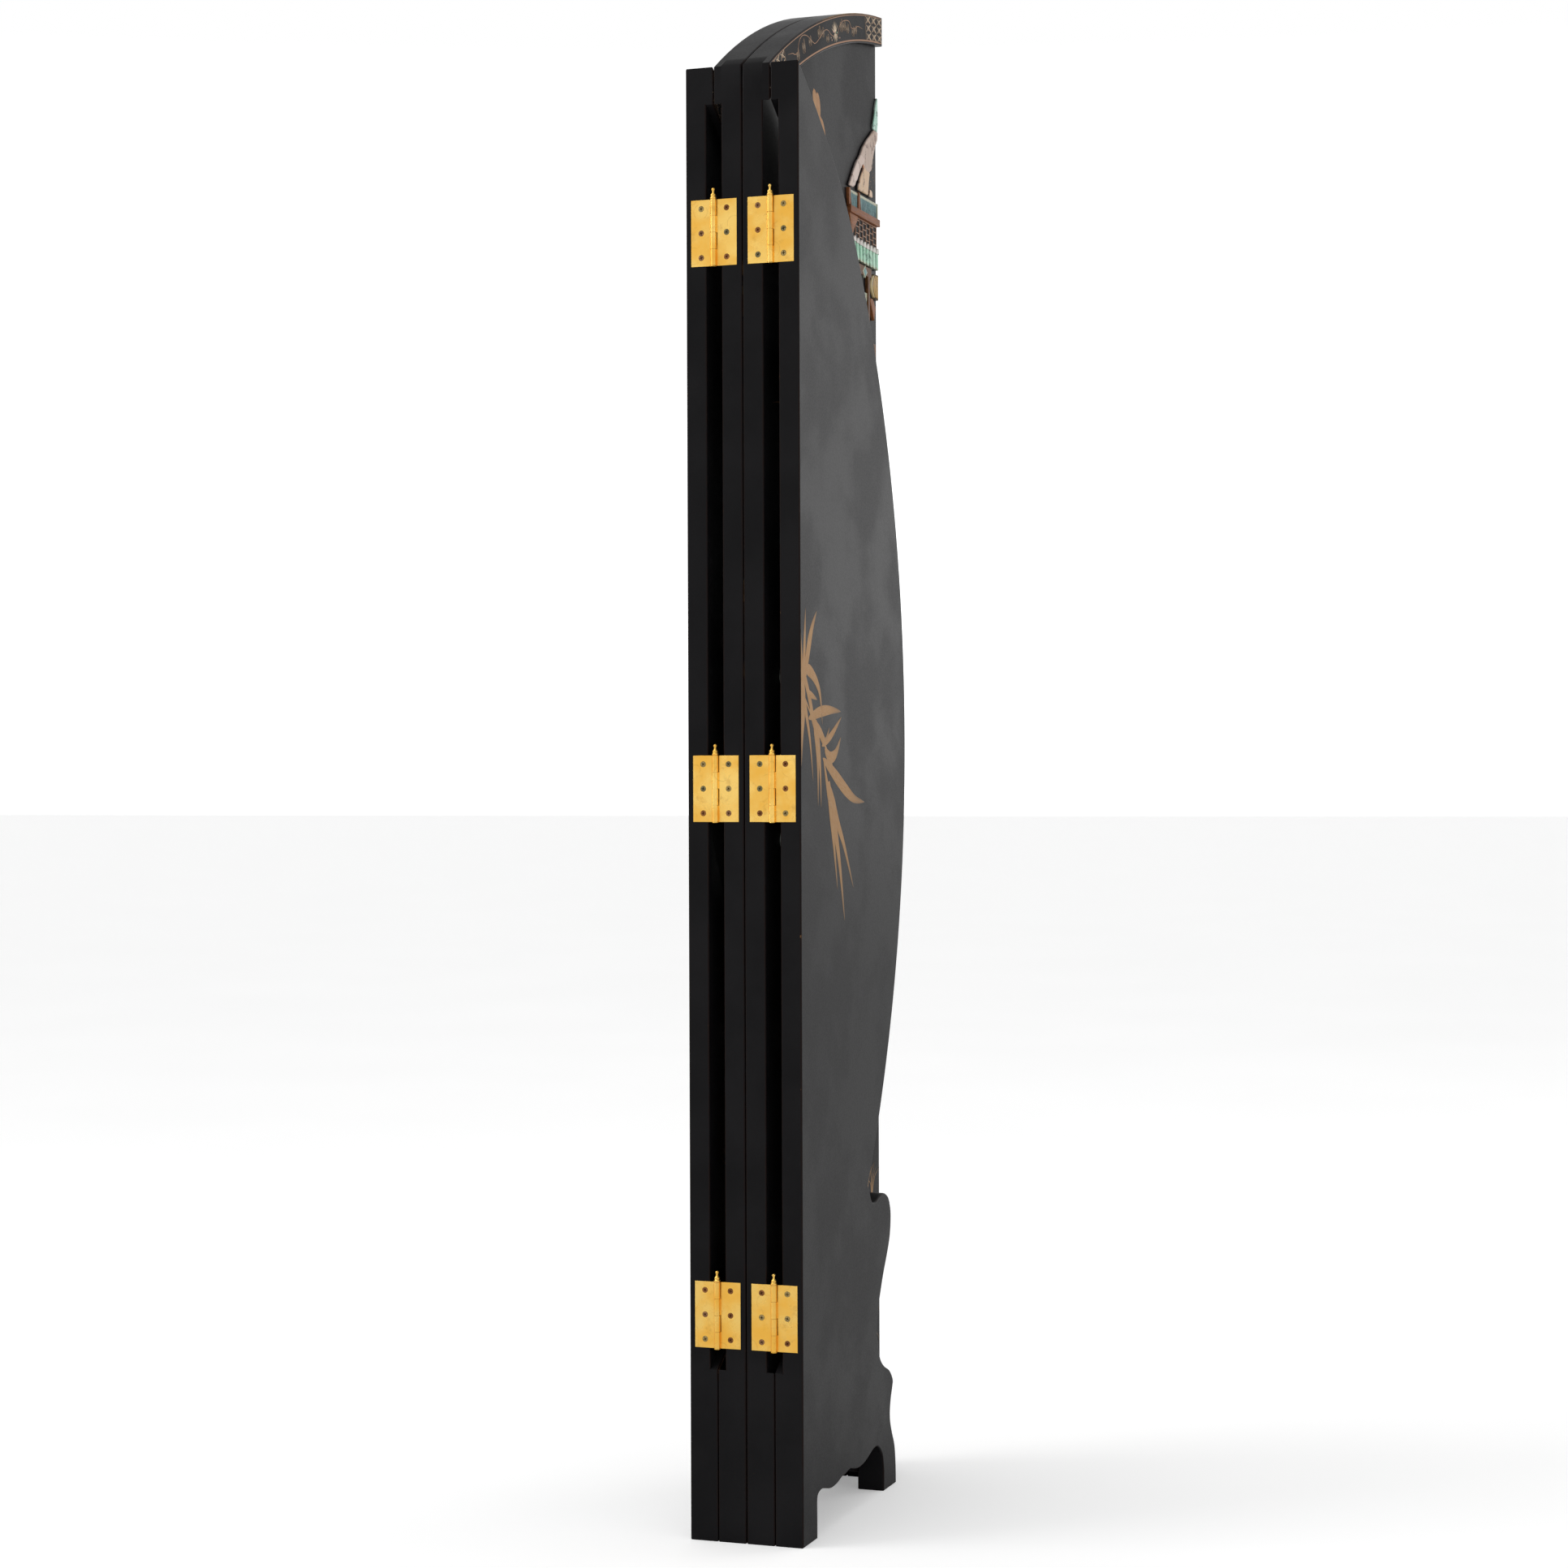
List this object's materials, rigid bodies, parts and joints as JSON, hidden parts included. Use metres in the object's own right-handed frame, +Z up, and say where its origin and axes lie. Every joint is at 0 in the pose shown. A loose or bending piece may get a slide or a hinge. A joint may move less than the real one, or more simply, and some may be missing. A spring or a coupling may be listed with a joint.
{
  "type": "folding screen",
  "caption": "Folding lacquered wood screen, folded up: panels that open out into an upright oval on a scrolled bracket stand, hung on brass hinges, with carved relief.",
  "frame": {"origin": "centre of the folded pack on the floor: X between the backs of the two inner panels, Y half way across the panels, Z the floor under the feet", "axes": "+Z up, +Y from the edges hinged at the outer folds towards the edges hinged at the centre fold, +X through the pack towards the outer left panel"},
  "size_m": [0.1372, 0.4306, 1.83],
  "materials": {
    "black_lacquer": "satin black lacquer with a fine mottle over a wooden board",
    "brass": "polished brass with light stains",
    "screw_steel": "dulled plated screw heads",
    "carved_stone": "carved and dyed soapstone, satin",
    "jade_stone": "carved pale green hardstone, satin",
    "carved_wood": "carved and dyed wood, satin",
    "dyed_inlay": "blue-green dyed stone inlay",
    "straw_stone": "straw-coloured carved stone",
    "gilt_paint": "hand-painted old-gold line work on the lacquer"
  },
  "bodies": {
    "inner_left_panel": {"inner_left_board": "black_lacquer", "inner_left_crown_band": "black_lacquer", "inner_left_base": "black_lacquer", "left_top_leaf_inner": "brass", "left_middle_leaf_inner": "brass", "left_bottom_leaf_inner": "brass", "left_top_pin": "brass", "left_middle_pin": "brass", "left_bottom_pin": "brass", "centre_top_leaf_left": "brass", "centre_middle_leaf_left": "brass", "centre_bottom_leaf_left": "brass", "centre_top_pin": "brass", "centre_middle_pin": "brass", "centre_bottom_pin": "brass", "inner_left_screws": "screw_steel", "inner_left_stonework": "carved_stone", "inner_left_jade": "jade_stone", "inner_left_timber": "carved_wood", "inner_left_inlay": "dyed_inlay", "inner_left_lantern": "straw_stone"},
    "outer_left_panel": {"outer_left_board": "black_lacquer", "outer_left_side_band": "black_lacquer", "outer_left_stand": "black_lacquer", "left_top_leaf_outer": "brass", "left_middle_leaf_outer": "brass", "left_bottom_leaf_outer": "brass", "outer_left_screws": "screw_steel", "outer_left_branch": "carved_wood", "outer_left_blossom": "carved_stone", "outer_left_leaves": "jade_stone"},
    "inner_right_panel": {"inner_right_board": "black_lacquer", "inner_right_crown_band": "black_lacquer", "inner_right_base": "black_lacquer", "right_top_leaf_inner": "brass", "right_middle_leaf_inner": "brass", "right_bottom_leaf_inner": "brass", "centre_top_leaf_right": "brass", "centre_middle_leaf_right": "brass", "centre_bottom_leaf_right": "brass", "inner_right_screws": "screw_steel", "inner_right_stonework": "carved_stone", "inner_right_jade": "jade_stone", "inner_right_timber": "carved_wood", "inner_right_inlay": "dyed_inlay", "inner_right_lantern": "straw_stone"},
    "outer_right_panel": {"outer_right_board": "black_lacquer", "outer_right_side_band": "black_lacquer", "outer_right_stand": "black_lacquer", "right_top_leaf_outer": "brass", "right_middle_leaf_outer": "brass", "right_bottom_leaf_outer": "brass", "right_top_pin": "brass", "right_middle_pin": "brass", "right_bottom_pin": "brass", "outer_right_screws": "screw_steel", "outer_right_branch": "carved_wood", "outer_right_blossom": "carved_stone", "outer_right_leaves": "jade_stone"}
  },
  "joints": [
    {"name": "left_fold", "type": "hinge", "parent": "inner_left_panel", "child": "outer_left_panel", "pos_m": [0.0344, -0.2116, 0.86], "axis": [0, 0, -1], "range_deg": [0, 180]},
    {"name": "centre_fold", "type": "hinge", "parent": "inner_left_panel", "child": "inner_right_panel", "pos_m": [0, 0.2116, 0.86], "axis": [0, 0, -1], "range_deg": [0, 180]},
    {"name": "right_fold", "type": "hinge", "parent": "inner_right_panel", "child": "outer_right_panel", "pos_m": [-0.0344, -0.2116, 0.86], "axis": [0, 0, 1], "range_deg": [0, 180]}
  ]
}
